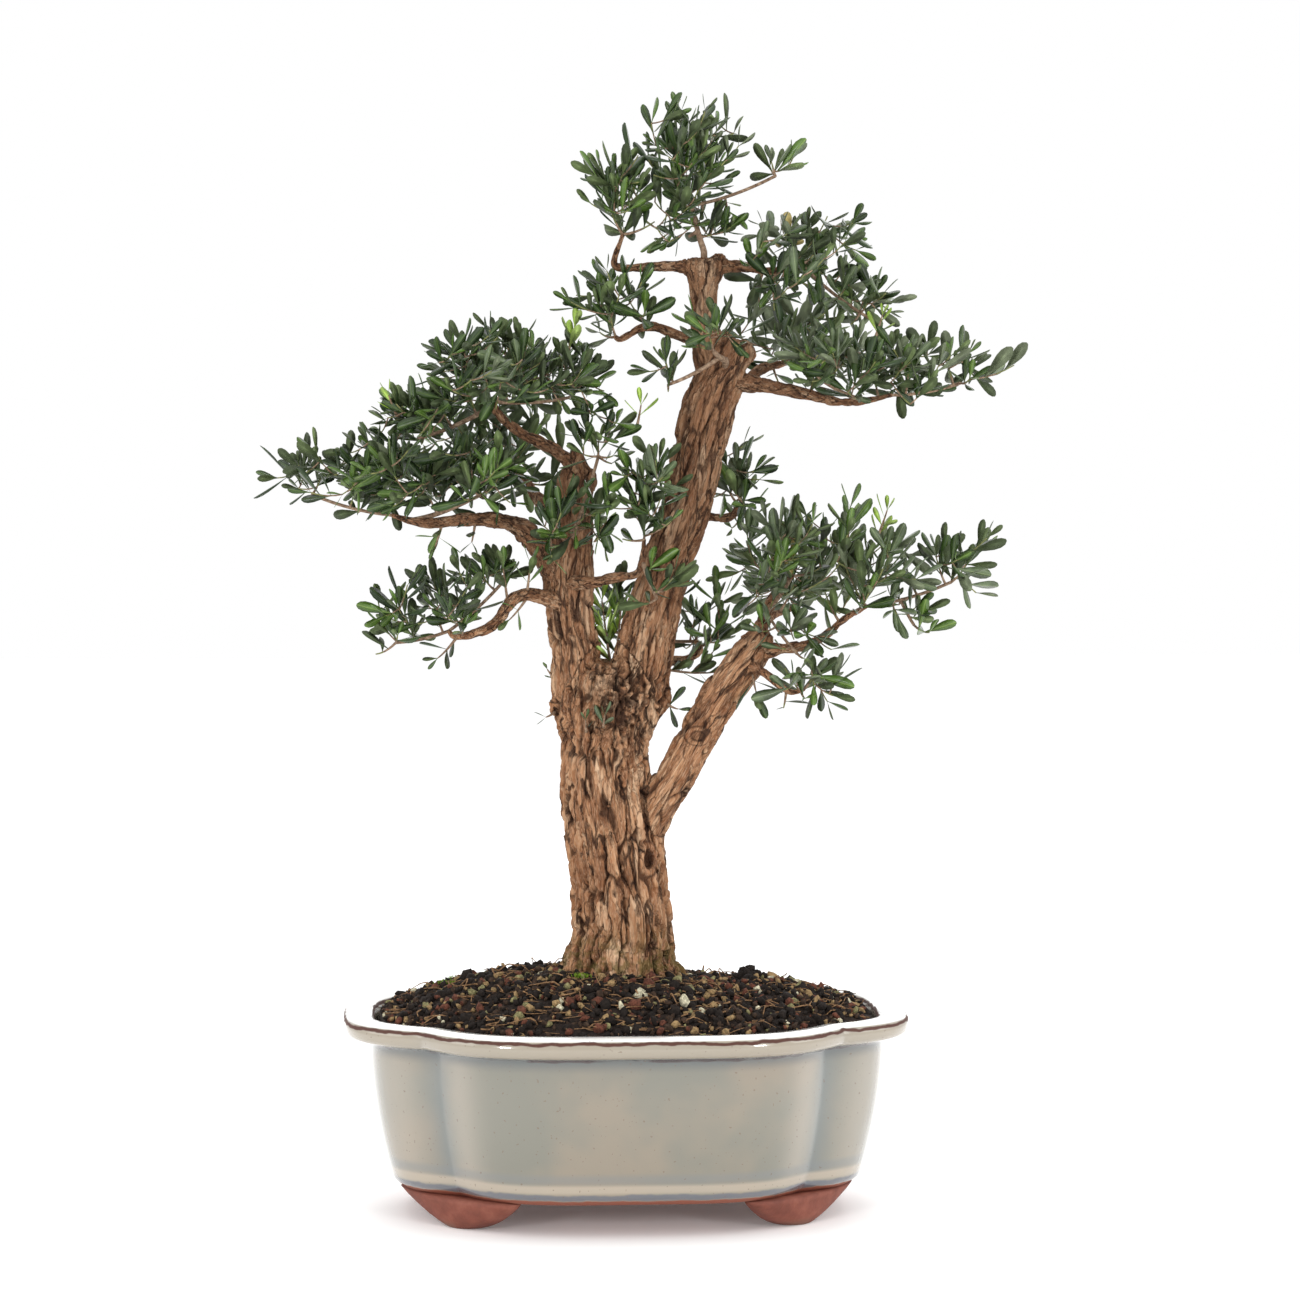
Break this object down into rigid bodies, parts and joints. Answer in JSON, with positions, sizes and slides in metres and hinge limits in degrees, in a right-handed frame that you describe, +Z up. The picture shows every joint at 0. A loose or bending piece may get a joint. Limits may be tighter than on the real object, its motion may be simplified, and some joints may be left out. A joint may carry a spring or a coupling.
{
  "type": "potted boxwood bonsai",
  "caption": "Boxwood bonsai with a fissured trunk, three limbs and open pads of narrow leaves, in a lobed glazed pot of gritty soil on clay feet.",
  "frame": {"origin": "on the ground under the middle of the whole plant's box, level with the flat undersides of the pot's feet", "axes": "+Z up the trunk, +X to the right along the pot's long side, -Y towards the front of the plant"},
  "size_m": [0.4806, 0.28, 0.7135],
  "materials": {
    "glaze": "gloss",
    "bare_clay": "matte",
    "soil": "matte",
    "bark": "matte",
    "leaves": "satin"
  },
  "bodies": {
    "root": {"pot": "glaze", "foot_front_left": "bare_clay", "foot_front_right": "bare_clay", "foot_back_left": "bare_clay", "foot_back_right": "bare_clay", "soil": "soil", "trunk": "bark", "left_limb": "bark", "centre_limb": "bark", "right_limb": "bark", "leader": "bark", "left_main_bough": "bark", "left_top_bough": "bark", "left_low_bough": "bark", "inner_bough": "bark", "head_left_bough": "bark", "head_right_bough": "bark", "leader_left_bough": "bark", "upper_right_bough": "bark", "centre_right_bough": "bark", "right_low_bough": "bark", "right_back_bough": "bark", "right_droop_bough": "bark", "rear_low_bough": "bark", "rear_left_bough": "bark", "rear_right_bough": "bark", "rear_bottom_bough": "bark", "apex_mass": "leaves", "apex_left_mass": "leaves", "upper_right_mass": "leaves", "right_shelf_mass": "leaves", "upper_left_mass": "leaves", "left_top_mass": "leaves", "left_outer_mass": "leaves", "left_front_mass": "leaves", "lower_left_mass": "leaves", "centre_mass": "leaves", "centre_right_mass": "leaves", "right_inner_mass": "leaves", "right_outer_mass": "leaves", "right_droop_mass": "leaves", "rear_low_mass": "leaves", "rear_left_mass": "leaves", "rear_right_mass": "leaves", "rear_bottom_mass": "leaves", "knob_mass": "leaves"}
  },
  "joints": []
}
